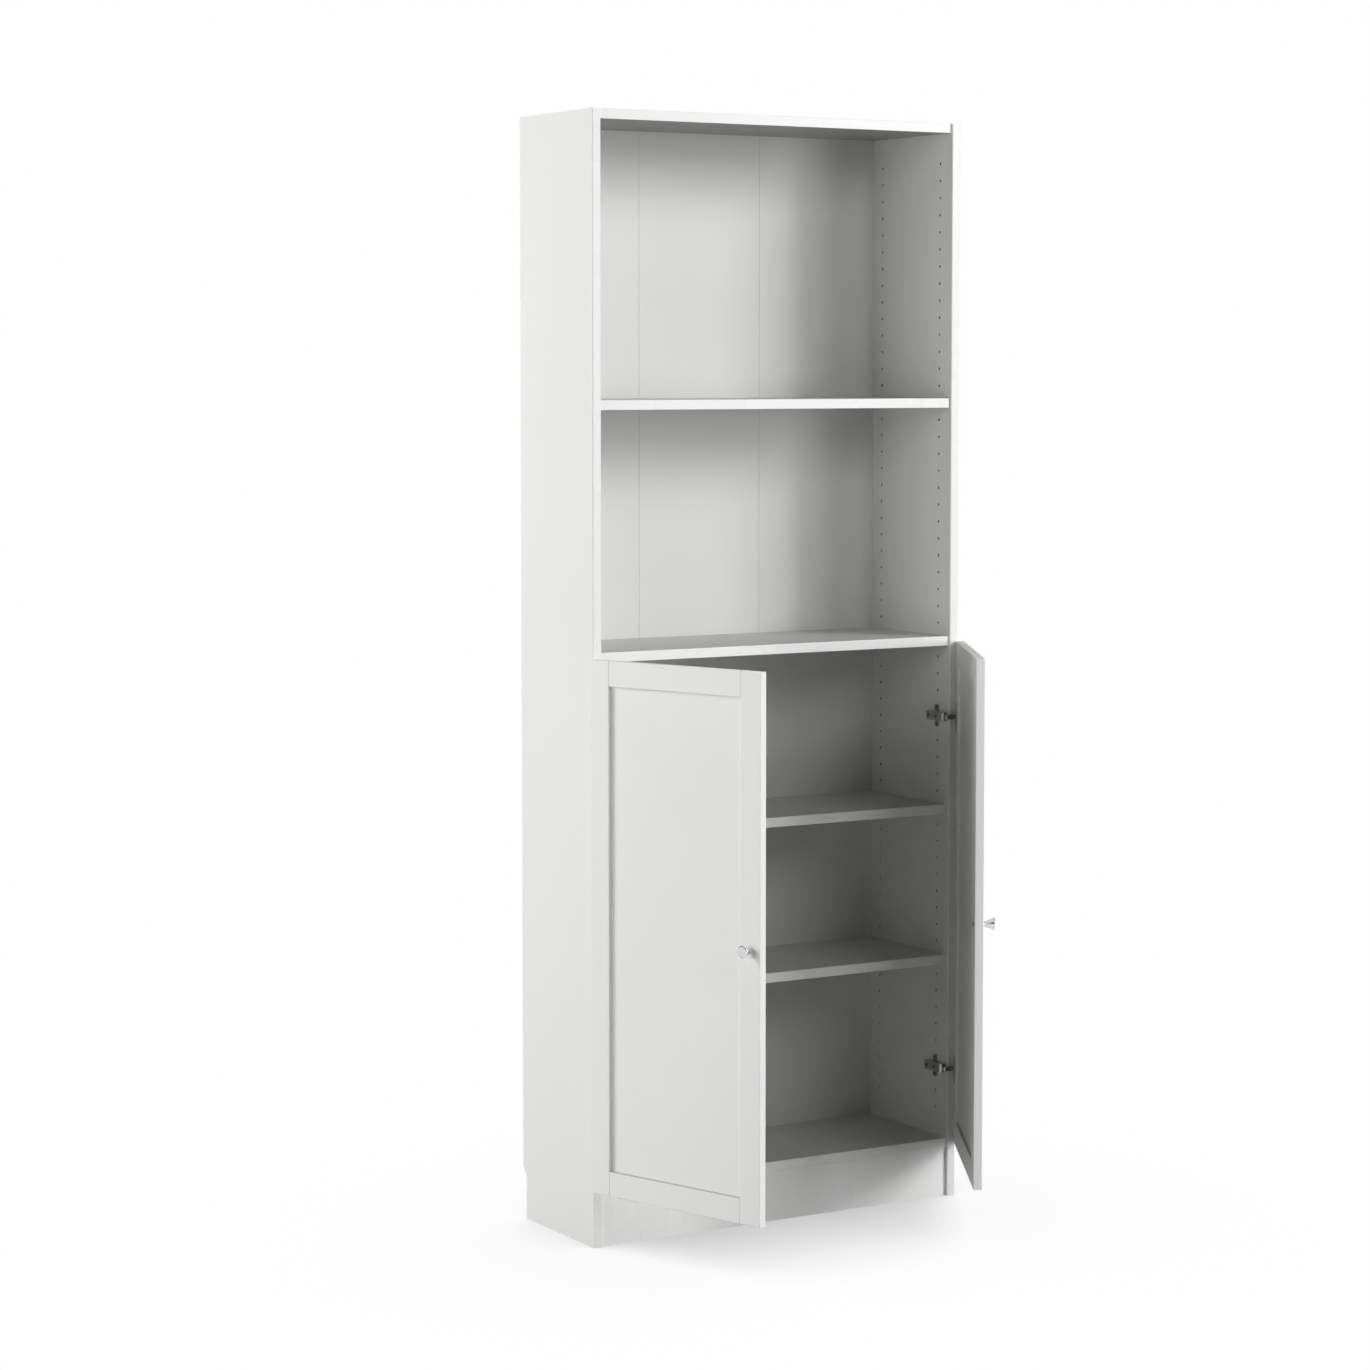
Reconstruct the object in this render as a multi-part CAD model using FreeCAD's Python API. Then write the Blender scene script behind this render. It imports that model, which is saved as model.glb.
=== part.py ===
import FreeCAD, Part
import math
import os

from FreeCAD import Vector

# A tall bookcase: two open bays over a cupboard of three, on a plinth, with a pair of framed
# doors. X runs to the right, Y to the rear and Z up. It is drawn with X = 0 in the middle of the
# carcass, Y = 0 at the front edges of its sides and Z = 0 on the floor, and is then moved so that
# the origin lies in the middle of the plinth's underside. All sizes are in millimetres.

# ---- carcass ----
width = 790.0               # over the two sides
depth = 268.0               # of a side, front edge to rear edge
board = 18.0                # thickness of the sides, shelves and top
side_round = 2.0            # on the front edges of the sides
shelf_round = 1.0           # on the front edges of the shelves and the top
fixed_recess = 4.5          # front edges of the top and the fixed shelves, behind the sides
bay_shelf_recess = 4.5      # the loose shelf in the open part
cabinet_shelf_recess = 10.0  # the loose shelves behind the doors
shelf_end_gap = 1.0         # at each end of a loose shelf
shelf_rear_gap = 1.0        # between a loose shelf and the back

# ---- heights, in steps of the hole rows above the middle of the bottom shelf ----
step = 32.0
bottom_level = 102.0        # floor to the middle of the bottom shelf
middle_step = 30
top_step = 60
bay_shelf_step = 44
cabinet_shelf_steps = {"upper": 20, "lower": 11}
hinge_steps = {"upper": 25.5, "lower": 4.5}
first_hole_step = 2
last_hole_step = 58

# ---- hole rows ----
row_hole = 5.0              # diameter
row_hole_depth = 12.0
front_row = 39.4            # behind the front edge
rear_row = 30.6             # in front of the back

# ---- plinth and skirting notch ----
plinth_recess = 6.5
plinth_board = 16.0
skirting_depth = 13.4
skirting_height = 80.5
skirting_slope = 19.0       # height over which the notch runs out to the rear edge

# ---- back, in three upright strips ----
back_board = 3.0
back_setback = 3.0          # rear face of the back, in front of the rear edges of the sides
rebate_width = 6.0          # rebate in each side that takes the edge of the back
back_edge_gap = 0.5
strip_gap = 0.5
middle_strip = 264.0
middle_strip_shift = -16.0
back_top_margin = 2.0

# ---- shelf fasteners ----
cam_diameter = 15.0
cam_depth = 12.5
cam_setback = 13.5          # middle of a cam, in from the end of its shelf
cam_gap = 0.1               # around a cam in its bore
cam_slot = 1.4
cam_slot_depth = 2.0
cam_slot_rim = 3.0          # slot's end to the cam's edge
bolt_neck = 4.0
bolt_head = 6.4
bolt_head_length = 2.2
bolt_end_gap = 1.0          # behind a bolt in its hole, and in front of its head in the cam
bolt_way = 7.2              # bore in a shelf's end for a bolt
dowel_diameter = 8.0
dowel_length = 30.0
dowel_in_side = 10.0
dowel_end_gap = 1.0         # at each end of a dowel in its bore
plinth_dowel_inset = 18.0   # from the top and the bottom of the plinth board
pin_length = 20.0           # shelf pin, half of it in the side
pin_slot_gap = 0.1          # between a pin and its slot in the shelf's end
fastener_gap = 0.05         # around screws, pins and dowels in their bores

# ---- doors ----
door_reveal = 1.5           # outer edge of a closed door, in from the outer face of the side
door_clearance = 2.0        # closed door to the front edges of the sides
door_meeting_gap = 4.0      # between the closed doors
door_overlap_top = 8.0      # over the middle shelf
door_overlap_bottom = 7.0   # over the bottom shelf
door_board = 16.0
frame_width = 45.0          # stiles and rails
panel_board = 4.0
panel_recess = 7.0          # front face of the panel, behind the front of the frame
cup_to_groove = 1.0         # wall between a hinge cup's bore and the panel's groove
panel_edge_gap = 0.5
groove_gap = 0.05
door_round = 1.5            # on the outer edges of a door
joint_round = 0.8           # on the edges where stiles, rails and panel meet
door_opening = {"left": 71.5, "right": 60.0}   # degrees from closed, as placed here

# ---- knobs ----
knob_base = 10.5
knob_neck = 9.4
knob_tip = 22.0
knob_length = 22.0
knob_collar = 2.0           # straight foot of the knob
knob_step = 1.5             # from the foot in to the neck
knob_rim = 1.6
knob_dish = 0.8
knob_inset = 22.5           # from the free edge of the door
knob_below_middle = 480.0   # under the middle shelf's middle
knob_thread = 3.4
knob_thread_depth = 10.0
knob_screw_way = 4.5
knob_screw_head = 8.0
knob_screw_head_height = 2.4
knob_screw_dome = 0.8       # how far the head draws in towards its top
knob_screw_end_gap = 1.0

# ---- hinges ----
hinge_axis_in = 2.5         # axis, in from the closed door's outer edge
hinge_axis_deep = 2.0       # axis, in from the closed door's rear face
cup_diameter = 35.0
cup_edge = 3.0              # door edge to cup bore
cup_bore_depth = 12.5
cup_shell = 0.8
cup_floor_gap = 0.7
cup_bore_gap = 0.1
flange_board = 1.2
flange_height = 54.0
flange_width = 16.0
flange_rim = 1.5
cup_screw_spacing = 45.0
cup_screw = 3.5
cup_screw_length = 12.0
cup_screw_head = 7.0
cup_screw_head_height = 2.0
pivot_pin = 2.0
pivot_gap = 0.05            # running gap around the pivot pin
eye_wall = 1.2
eye_height = 8.0
ear_board = 1.2
ear_gap = 0.4
notch_gap = 0.6
ear_run = 6.6               # from the pivot to where an ear ends in the cup's wall
neck_board = 2.4
neck_offset = 8.0           # neck's upright leg, in from the side's inner face
neck_bend = 3.0
arm_sheet = 1.2
arm_height = 16.0
arm_stand = 14.0            # arm's outer face, in from the side's inner face
arm_front = 4.0             # behind the front edge
arm_rear = 60.0
arm_lift = 2.0              # free edges of the arm above the side's face
arm_taper = 3.0
plate_board = 2.0
plate_wing = 12.0
plate_body_height = 12.4
plate_body_stand = 8.0
plate_body_front = 17.0
plate_body_rear = 57.0
plate_body_round = 1.5
plate_screw_end_gap = 1.0
plate_screw_head = 7.0
plate_screw_head_height = 1.8
adjuster_head = 6.4
adjuster_head_height = 1.4
adjuster_shank = 4.0
adjuster_reach = 9.0
adjuster_places = {"side": 25.0, "clamp": 49.0}   # behind the front edge

# ---- worked out ----
half = width / 2
inner = half - board                      # inner face of a side, from the middle
level = {"bottom": bottom_level,
         "middle": bottom_level + middle_step * step,
         "top": bottom_level + top_step * step,
         "bay": bottom_level + bay_shelf_step * step}
for place, steps in cabinet_shelf_steps.items():
    level[place] = bottom_level + steps * step
hinge_level = {place: bottom_level + steps * step for place, steps in hinge_steps.items()}
height = level["top"] + board / 2
back_front = depth - back_setback - back_board
rows = (front_row, back_front - rear_row)
row_middle = sum(rows) / 2
fixed_levels = (level["bottom"], level["middle"], level["top"])
plinth_top = level["bottom"] - board / 2
back_bottom = level["bottom"]
door_width = (width - 2 * door_reveal - door_meeting_gap) / 2
door_left = -half + door_reveal
door_right = door_left + door_width
door_rear = -door_clearance
door_front = door_rear - door_board
door_bottom = level["bottom"] + board / 2 - door_overlap_bottom
door_top = level["middle"] - board / 2 + door_overlap_top
groove_depth = frame_width - cup_edge - cup_diameter - cup_to_groove
panel_front = door_front + panel_recess
panel_rear = panel_front + panel_board
groove_walls = (panel_front - groove_gap, panel_rear + groove_gap)
hinge_axis = Vector(door_left + hinge_axis_in, door_rear - hinge_axis_deep, 0)
cup_middle = door_left + cup_edge + cup_diameter / 2
knob_middle = door_right - knob_inset
knob_level = level["middle"] - knob_below_middle
up = Vector(0, 0, 1)

# how the edges to round are told: by a place within near of a plane, and a run mostly along an axis
near = 0.1
mostly = 0.9


def box(x, y, z):
    return Part.makeBox(x[1] - x[0], y[1] - y[0], z[1] - z[0], Vector(x[0], y[0], z[0]))


def rod(diameter, start, end):
    way = end - start
    return Part.makeCylinder(diameter / 2, way.Length, start, way)


def rounded(shape, radius, keep):
    """Rounds the straight edges whose middle point and direction pass the test."""
    edges = []
    for edge in shape.Edges:
        run = edge.lastVertex().Point - edge.firstVertex().Point
        if keep(edge.CenterOfMass, run.normalize()):
            edges.append(edge)
    return shape.makeFillet(radius, edges)


def extruded(points, low, high):
    """An upright prism on a closed outline in plan."""
    outline = Part.makePolygon([Vector(x, y, low) for x, y in points + points[:1]])
    return Part.Face(outline).extrude(Vector(0, 0, high - low))


def turned(profile, start, way):
    """Turns a half outline, given as (radius, distance) pairs, about a line from start."""
    closed = [(0, profile[0][1])] + profile + [(0, profile[-1][1])]
    points = [Vector(radius, 0, along) for radius, along in closed]
    solid = Part.Face(Part.makePolygon(points + points[:1])).revolve(Vector(), up, 360)
    solid.rotate(Vector(), up.cross(way), math.degrees(up.getAngle(way)))
    return solid.translated(start)


def mirrored(shape):
    return shape.mirror(Vector(), Vector(1, 0, 0))


def both(shape):
    """A left-hand fastener and its mirror image on the right."""
    return [shape, mirrored(shape)]


# ---- carcass boards ----
def side():
    """The left side, with its notch for a skirting board, its rebate and its bores."""
    blank = box((-half, -inner), (0, depth), (0, height))
    blank = rounded(blank, side_round, lambda at, run: at.y < near and abs(run.z) > mostly)
    notch_front = depth - skirting_depth
    notch = Part.makePolygon([Vector(-half, y, z) for y, z in (
        (notch_front, 0), (depth, 0), (depth, skirting_height + skirting_slope),
        (notch_front, skirting_height), (notch_front, 0))])
    cuts = [Part.Face(notch).extrude(Vector(board, 0, 0))]
    cuts.append(box((-inner - rebate_width, -inner), (back_front, depth), (back_bottom, height)))
    steps = [0] + list(range(first_hole_step, last_hole_step + 1)) + [top_step]
    face, floor = -inner, -inner - row_hole_depth
    for y in rows:
        for count in steps:
            z = bottom_level + count * step
            cuts.append(rod(row_hole, Vector(face, y, z), Vector(floor, y, z)))
    for y, z in dowel_places():
        cuts.append(rod(dowel_diameter, Vector(face, y, z), Vector(face - dowel_in_side, y, z)))
    return blank.cut(cuts)


def dowel_places():
    """Height and depth of every dowel in a side."""
    places = [(row_middle, z) for z in fixed_levels]
    plinth_middle = plinth_recess + plinth_board / 2
    for z in (plinth_dowel_inset, plinth_top - plinth_dowel_inset):
        places.append((plinth_middle, z))
    return places


def shelf_blank(middle, recess, end_gap, rear_gap):
    reach = inner - end_gap
    thickness = (middle - board / 2, middle + board / 2)
    blank = box((-reach, reach), (recess, back_front - rear_gap), thickness)
    return rounded(blank, shelf_round, lambda at, run: at.y < recess + near and abs(run.x) > mostly)


def fixed_shelf(middle):
    """A shelf that the cams and dowels tie to both sides."""
    cuts = []
    under = middle - board / 2
    for y in rows:
        at = Vector(-inner + cam_setback, y, under)
        cuts += both(rod(cam_diameter, at, at + up * cam_depth))
        cuts += both(rod(bolt_way, Vector(-inner, y, middle), Vector(at.x, y, middle)))
    dowel_start = Vector(-inner, row_middle, middle)
    cuts += both(rod(dowel_diameter, dowel_start, dowel_start + Vector(dowel_length - dowel_in_side, 0, 0)))
    return shelf_blank(middle, fixed_recess, 0, 0).cut(cuts)


def loose_shelf(middle, recess):
    """A shelf that hangs on four pins, each hidden in a slot open to the underside."""
    cuts = []
    slot = row_hole / 2 + pin_slot_gap
    end = -inner + pin_length / 2 + shelf_end_gap
    for y in rows:
        groove = box((-inner, end), (y - slot, y + slot), (middle - board, middle))
        groove = groove.fuse(rod(2 * slot, Vector(-inner, y, middle), Vector(end, y, middle)))
        cuts += both(groove.removeSplitter())
    return shelf_blank(middle, recess, shelf_end_gap, shelf_rear_gap).cut(cuts)


def plinth():
    blank = box((-inner, inner), (plinth_recess, plinth_recess + plinth_board), (0, plinth_top))
    cuts = []
    reach = Vector(dowel_length - dowel_in_side, 0, 0)
    for y, z in dowel_places()[len(fixed_levels):]:
        start = Vector(-inner, y, z)
        cuts += both(rod(dowel_diameter, start, start + reach))
    return blank.cut(cuts)


def back_strips():
    edge = inner + rebate_width - back_edge_gap
    left = middle_strip_shift - middle_strip / 2
    right = middle_strip_shift + middle_strip / 2
    spans = {"left": (-edge, left - strip_gap / 2),
             "middle": (left + strip_gap / 2, right - strip_gap / 2),
             "right": (right + strip_gap / 2, edge)}
    thickness = (back_front, back_front + back_board)
    upright = (back_bottom + back_edge_gap, height - back_top_margin)
    return {name: box(span, thickness, upright) for name, span in spans.items()}


# ---- fasteners of the carcass ----
def cams():
    solids = []
    radius = cam_diameter / 2 - cam_gap
    for middle in fixed_levels:
        under = middle - board / 2
        for y in rows:
            at = Vector(-inner + cam_setback, y, under)
            cam = rod(2 * radius, at, at + up * (cam_depth - cam_gap))
            mouth = rod(bolt_way, Vector(-inner, y, middle), Vector(at.x, y, middle))
            reach = radius - cam_slot_rim
            across = (at.x - reach, at.x + reach), (y - cam_slot / 2, y + cam_slot / 2)
            along = (at.x - cam_slot / 2, at.x + cam_slot / 2), (y - reach, y + reach)
            slots = [box(x, span, (under, under + cam_slot_depth)) for x, span in (across, along)]
            solids += both(cam.cut([mouth] + slots))
    return solids


def cam_bolts():
    """Bolts with one end in the side and a round head held by the cam."""
    thread = row_hole / 2 - fastener_gap
    neck, head = bolt_neck / 2, bolt_head / 2
    start = -(row_hole_depth - bolt_end_gap)
    head_end = cam_setback - bolt_end_gap
    head_start = head_end - bolt_head_length
    profile = [(thread, start), (thread, 0), (neck, 0), (neck, head_start), (head, head_start),
               (head, head_end)]
    solids = []
    for middle in fixed_levels:
        for y in rows:
            solids += both(turned(profile, Vector(-inner, y, middle), Vector(1, 0, 0)))
    return solids


def dowels():
    solids = []
    start = -inner - dowel_in_side + dowel_end_gap
    end = start + dowel_length - 2 * dowel_end_gap
    for y, z in dowel_places():
        solids += both(rod(dowel_diameter - 2 * fastener_gap, Vector(start, y, z), Vector(end, y, z)))
    return solids


def shelf_pins():
    solids = []
    half_pin = pin_length / 2
    for name in ("bay", "upper", "lower"):
        for y in rows:
            start = Vector(-inner - half_pin, y, level[name])
            solids += both(rod(row_hole - 2 * fastener_gap, start, start + Vector(pin_length, 0, 0)))
    return solids


# ---- hinges: the left-hand ones, with the door closed ----
def hinge_plate(z):
    """A cross-shaped plate: two wings with screws, and a body that the arm clips over."""
    face = -inner
    reach = step / 2
    through = Vector(plate_board, 0, 0)
    body = box((face, face + plate_body_stand), (plate_body_front, plate_body_rear),
               (z - plate_body_height / 2, z + plate_body_height / 2))
    body = rounded(body, plate_body_round, lambda at, run: at.x > face + near and abs(run.z) < 1 - mostly)
    wings = [box((face, face + plate_board), (front_row - plate_wing / 2, front_row + plate_wing / 2),
                 (z - reach, z + reach))]
    screws = []
    for end in (z - reach, z + reach):
        seat = Vector(face, front_row, end)
        wings.append(rod(plate_wing, seat, seat + through))
        screws.append(rod(row_hole, seat, seat + through))
    for y in adjuster_places.values():
        outer = Vector(face + plate_body_stand, y, z)
        screws.append(rod(adjuster_shank, outer, outer - Vector(adjuster_reach - arm_sheet, 0, 0)))
    return body.fuse(wings).removeSplitter().cut(screws)


def hinge_arm(z):
    """A channel over the plate, drawn out in front into a neck that ends in the pivot's eye."""
    face = -inner
    crown = face + arm_stand
    half_high = arm_height / 2
    outline = [(face + arm_lift, arm_front + arm_taper), (crown - arm_taper, arm_front),
               (crown, arm_front + arm_taper), (crown, arm_rear - arm_taper),
               (crown - arm_taper, arm_rear), (face + arm_lift, arm_rear)]
    channel = extruded(outline, z - half_high, z + half_high)
    hollow = box((face, crown - arm_sheet), (arm_front + 2 * arm_taper, depth),
                 (z - half_high + arm_sheet, z + half_high - arm_sheet))
    ways = []
    for y in adjuster_places.values():
        ways.append(rod(adjuster_shank, Vector(crown - arm_sheet, y, z), Vector(crown, y, z)))
    axis = hinge_axis + up * z
    leg = face + neck_offset
    fore, aft = axis.y - neck_board / 2, axis.y + neck_board / 2
    half_eye = eye_height / 2
    hook = extruded([(axis.x, fore), (leg + neck_board, fore), (leg + neck_board, arm_front + arm_taper),
                     (leg, arm_front + arm_taper), (leg, aft), (axis.x, aft)], z - half_eye, z + half_eye)
    hook = rounded(hook, neck_bend, lambda at, run: abs(run.z) > mostly and at.x > leg + near and at.y < 0)
    eye = rod(pivot_pin + 2 * eye_wall, axis - up * half_eye, axis + up * half_eye)
    bore = rod(pivot_pin + 2 * pivot_gap, axis - up * half_eye, axis + up * half_eye)
    return channel.cut([hollow] + ways).fuse([hook, eye]).removeSplitter().cut(bore)


def hinge_cup(z):
    """The pressed cup with its flange, and two ears that carry the pivot pin."""
    centre = Vector(cup_middle, door_rear, z)
    deep = Vector(0, -1, 0)
    outer = cup_diameter - 2 * cup_bore_gap
    depth_of_cup = cup_bore_depth - cup_floor_gap
    shell = rod(outer, centre, centre + deep * depth_of_cup)
    plate = (door_rear, door_rear + flange_board)
    bar = box((cup_middle - flange_width / 2, cup_middle + flange_width / 2), plate,
              (z - flange_height / 2, z + flange_height / 2))
    bar = rounded(bar, flange_width / 3, lambda at, run: abs(run.y) > mostly)
    collar = rod(cup_diameter + 2 * flange_rim, centre, centre - deep * flange_board)
    floor = centre + deep * (depth_of_cup - cup_shell)
    hollow = rod(outer - 2 * cup_shell, centre - deep * flange_board, floor)
    axis = hinge_axis + up * z
    around = pivot_pin / 2 + eye_wall
    ears = []
    for low in (z - eye_height / 2 - ear_gap - ear_board, z + eye_height / 2 + ear_gap):
        ear = box((axis.x, axis.x + ear_run), (axis.y - around, door_rear), (low, low + ear_board))
        ears += [ear, rod(2 * around, Vector(axis.x, axis.y, low), Vector(axis.x, axis.y, low + ear_board))]
    gate = eye_height / 2 + ear_gap
    mouth = box((door_left, cup_middle), (axis.y - around - ear_gap, door_rear + flange_board),
                (z - gate, z + gate))
    edge = box((door_left - cup_diameter, axis.x + around), plate, (z - cup_diameter, z + cup_diameter))
    holes = [screw_seat(z + end, 0) for end in (-cup_screw_spacing / 2, cup_screw_spacing / 2)]
    pin = rod(pivot_pin, axis - up * cup_diameter, axis + up * cup_diameter)
    cup = shell.fuse([bar, collar]).cut([hollow, edge])
    return cup.fuse(ears).cut([mouth, pin] + holes).removeSplitter()


def screw_seat(z, gap):
    """A countersunk screw in the cup's flange: the hole for it, or with a gap the screw itself."""
    outer = door_rear + flange_board
    head, shank = cup_screw_head / 2 - gap, cup_screw / 2 - gap
    profile = [(head, 0), (head, cup_screw_head_height / 4), (shank, cup_screw_head_height),
               (shank, cup_screw_length)]
    return turned(profile, Vector(cup_middle, outer, z), Vector(0, -1, 0))


def pivot_pin_solid(z):
    reach = eye_height / 2 + ear_gap + ear_board
    axis = hinge_axis + up * z
    return rod(pivot_pin, axis - up * reach, axis + up * reach)


def plate_screws():
    solids = []
    shank, head = row_hole / 2 - fastener_gap, plate_screw_head / 2
    seat = plate_board
    profile = [(head, -seat - plate_screw_head_height), (head, -seat), (shank, -seat),
               (shank, row_hole_depth - plate_screw_end_gap)]
    for z in hinge_level.values():
        for end in (-step / 2, step / 2):
            solids += both(turned(profile, Vector(-inner, front_row, z + end), Vector(-1, 0, 0)))
    return solids


def adjusters():
    solids = []
    shank, head = adjuster_shank / 2 - fastener_gap, adjuster_head / 2
    profile = [(head, -adjuster_head_height), (head, 0), (shank, 0), (shank, adjuster_reach)]
    for z in hinge_level.values():
        for y in adjuster_places.values():
            solids += both(turned(profile, Vector(-inner + arm_stand, y, z), Vector(-1, 0, 0)))
    return solids


# ---- doors: the left-hand one, closed ----
def stile(span, free_edge):
    """An upright of the frame, grooved down its inner edge; free_edge tells which side is outer."""
    blank = box(span, (door_front, door_rear), (door_bottom, door_top))
    inward = span[0] if free_edge else span[1]
    blank = rounded(blank, joint_round, lambda at, run: abs(at.x - inward) < near and abs(run.z) > mostly)
    blank = rounded(blank, door_round, lambda at, run: outer_edge(at, run, inward))
    groove = (span[0], span[0] + groove_depth) if free_edge else (span[1] - groove_depth, span[1])
    return blank.cut(box(groove, groove_walls, (door_bottom, door_top)))


def outer_edge(at, run, inward):
    """Tells the long outer edges of a stile, and the edges across its two ends, by middle and direction."""
    at_an_end = at.z < door_bottom + near or at.z > door_top - near
    far_side = abs(at.x - inward) > frame_width - near
    return (far_side and abs(run.z) > mostly) or (at_an_end and abs(run.x) > mostly)


def hinge_stile():
    """The stile that the cups are let into, with a notch from each cup out to the door's edge."""
    cuts = []
    for z in hinge_level.values():
        at = Vector(cup_middle, door_rear, z)
        cuts.append(rod(cup_diameter, at, at - Vector(0, cup_bore_depth, 0)))
        reach = eye_height / 2 + ear_gap + ear_board + notch_gap
        bottom = hinge_axis.y - pivot_pin / 2 - eye_wall - notch_gap
        cuts.append(box((door_left, cup_middle), (bottom, door_rear), (z - reach, z + reach)))
        cuts += [screw_seat(z + end, 0) for end in (-cup_screw_spacing / 2, cup_screw_spacing / 2)]
    return stile((door_left, door_left + frame_width), False).cut(cuts)


def lock_stile():
    start = Vector(knob_middle, door_rear, knob_level)
    way = rod(knob_screw_way, start, start - Vector(0, door_board, 0))
    return stile((door_right - frame_width, door_right), True).cut(way)


def rail(top):
    """A cross piece of the frame with a tongue at each end and a groove for the panel."""
    low = door_top - frame_width if top else door_bottom
    high = low + frame_width
    left, right = door_left + frame_width, door_right - frame_width
    body = box((left, right), (door_front, door_rear), (low, high))
    outer, inward = (high, low) if top else (low, high)
    body = rounded(body, joint_round, lambda at, run: abs(at.z - inward) < near and abs(run.x) > mostly)
    body = rounded(body, door_round, lambda at, run: abs(at.z - outer) < near and abs(run.x) > mostly)
    tongue = box((left - groove_depth, right + groove_depth), (panel_front, panel_rear), (low, high))
    slot = (low, low + groove_depth) if top else (high - groove_depth, high)
    groove = box((left - groove_depth, right + groove_depth), groove_walls, slot)
    return body.fuse(tongue).cut(groove).removeSplitter()


def door_panel():
    reach = frame_width - groove_depth + panel_edge_gap
    return box((door_left + reach, door_right - reach), (panel_front, panel_rear),
               (door_bottom + reach, door_top - reach))


def knob():
    """A turned cone that widens to a rounded, slightly dished face."""
    base, neck, tip = knob_base / 2, knob_neck / 2, knob_tip / 2
    face = knob_length
    shoulder = Vector(tip, 0, face - knob_rim)
    meridian = [Vector(), Vector(base, 0, 0), Vector(base, 0, knob_collar),
                Vector(neck, 0, knob_collar + knob_step), shoulder]
    edges = [Part.makeLine(a, b) for a, b in zip(meridian, meridian[1:])]
    rim_end = Vector(tip - knob_rim, 0, face)
    bulge = knob_rim * (1 - math.sqrt(0.5))
    edges.append(Part.Arc(shoulder, Vector(tip - bulge, 0, face - bulge), rim_end).toShape())
    centre = Vector(0, 0, face - knob_dish)
    dish_radius = (rim_end.x ** 2 + knob_dish ** 2) / (2 * knob_dish)
    halfway = rim_end.x / 2
    dish_rise = dish_radius - math.sqrt(dish_radius ** 2 - halfway ** 2)
    edges.append(Part.Arc(rim_end, Vector(halfway, 0, centre.z + dish_rise), centre).toShape())
    edges.append(Part.makeLine(centre, Vector(0, 0, 0)))
    solid = Part.Face(Part.Wire(edges)).revolve(Vector(), up, 360)
    solid = solid.cut(Part.makeCylinder(knob_thread / 2, knob_thread_depth))
    solid.rotate(Vector(), Vector(1, 0, 0), 90)
    return solid.translated(Vector(knob_middle, door_front, knob_level))


def knob_screw():
    shank, head = knob_thread / 2 - fastener_gap, knob_screw_head / 2
    end = door_board + knob_thread_depth - knob_screw_end_gap
    profile = [(head - knob_screw_dome, -knob_screw_head_height), (head, -knob_screw_head_height / 2),
               (head, 0), (shank, 0), (shank, end)]
    return turned(profile, Vector(knob_middle, door_rear, knob_level), Vector(0, -1, 0))


def hung(shape, hand):
    """Turns a piece of the closed left door about the hinge axis, and mirrors it for the right."""
    placed = shape.copy()
    placed.rotate(hinge_axis, up, -door_opening[hand])
    return mirrored(placed) if hand == "right" else placed


def handed(shape, hand):
    return mirrored(shape) if hand == "right" else shape


# ---- the nodes ----
nodes = {"left_side": side(),
         "top_panel": fixed_shelf(level["top"]),
         "middle_shelf": fixed_shelf(level["middle"]),
         "bottom_shelf": fixed_shelf(level["bottom"]),
         "plinth_board": plinth(),
         "open_bay_shelf": loose_shelf(level["bay"], bay_shelf_recess),
         "cabinet_shelf_upper": loose_shelf(level["upper"], cabinet_shelf_recess),
         "cabinet_shelf_lower": loose_shelf(level["lower"], cabinet_shelf_recess),
         "shelf_pins": Part.makeCompound(shelf_pins()),
         "cam_locks": Part.makeCompound(cams()),
         "cam_bolts": Part.makeCompound(cam_bolts()),
         "dowels": Part.makeCompound(dowels()),
         "plate_screws": Part.makeCompound(plate_screws()),
         "adjusting_screws": Part.makeCompound(adjusters())}
nodes["right_side"] = mirrored(nodes["left_side"])
for name, strip in back_strips().items():
    nodes["back_strip_" + name] = strip

cup_screws = []
for z in hinge_level.values():
    for end in (-cup_screw_spacing / 2, cup_screw_spacing / 2):
        cup_screws.append(screw_seat(z + end, fastener_gap))
door_pieces = {"hinge_stile": hinge_stile(),
               "lock_stile": lock_stile(),
               "top_rail": rail(True),
               "bottom_rail": rail(False),
               "door_panel": door_panel(),
               "knob": knob(),
               "knob_screw": knob_screw(),
               "hinge_pins": Part.makeCompound([pivot_pin_solid(z) for z in hinge_level.values()]),
               "cup_screws": Part.makeCompound(cup_screws)}
for hand in ("left", "right"):
    for name, shape in door_pieces.items():
        nodes[f"{hand}_{name}"] = hung(shape, hand)
    for place, z in hinge_level.items():
        nodes[f"{hand}_hinge_plate_{place}"] = handed(hinge_plate(z), hand)
        nodes[f"{hand}_hinge_arm_{place}"] = handed(hinge_arm(z), hand)
        nodes[f"{hand}_hinge_cup_{place}"] = hung(hinge_cup(z), hand)

to_origin = Vector(0, -plinth_recess - plinth_board / 2, 0)
os.makedirs("parts", exist_ok=True)
for name, shape in nodes.items():
    shape.translated(to_origin).exportStep(f"parts/{name}.step")
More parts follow.
